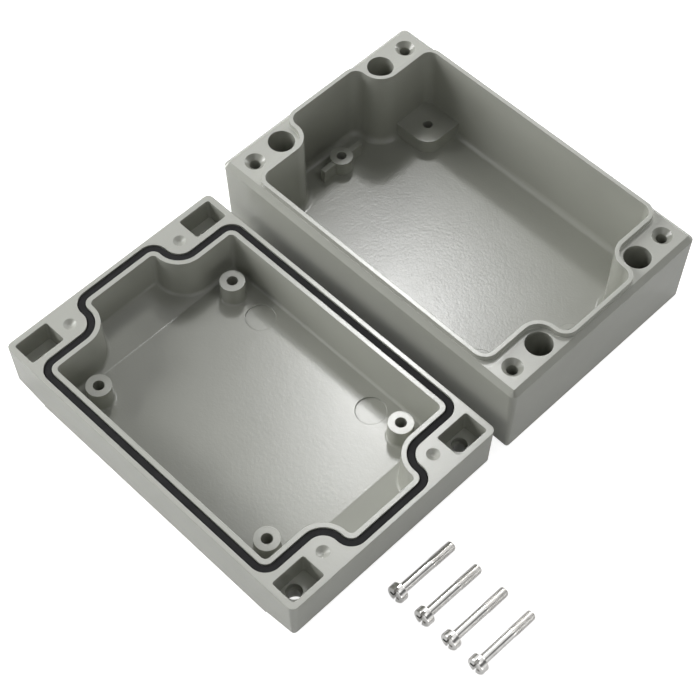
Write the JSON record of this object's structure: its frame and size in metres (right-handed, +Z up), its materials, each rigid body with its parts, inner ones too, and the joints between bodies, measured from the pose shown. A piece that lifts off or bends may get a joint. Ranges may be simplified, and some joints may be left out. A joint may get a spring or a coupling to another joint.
{
  "type": "die cast aluminium enclosure",
  "caption": "Rectangular die cast box, opened: deep base with wall fixing holes, lid on its back with rubber gasket, and loose slotted lid screws.",
  "frame": {"origin": "middle of the base's underside, on the ground", "axes": "+X along the box, +Y across it away from the lid, +Z up out of the open base"},
  "size_m": [0.2041, 0.2077, 0.0394],
  "materials": {
    "cast_aluminium": "bead blasted casting, satin, with a fine pebbled grain",
    "gasket_rubber": "black, slightly glossy",
    "screw_steel": "bright stainless"
  },
  "bodies": {
    "root": {"base_casting": "cast_aluminium", "lid_casting": "cast_aluminium", "gasket": "gasket_rubber", "lid_screw_1": "screw_steel", "lid_screw_2": "screw_steel", "lid_screw_3": "screw_steel", "lid_screw_4": "screw_steel"}
  },
  "joints": []
}
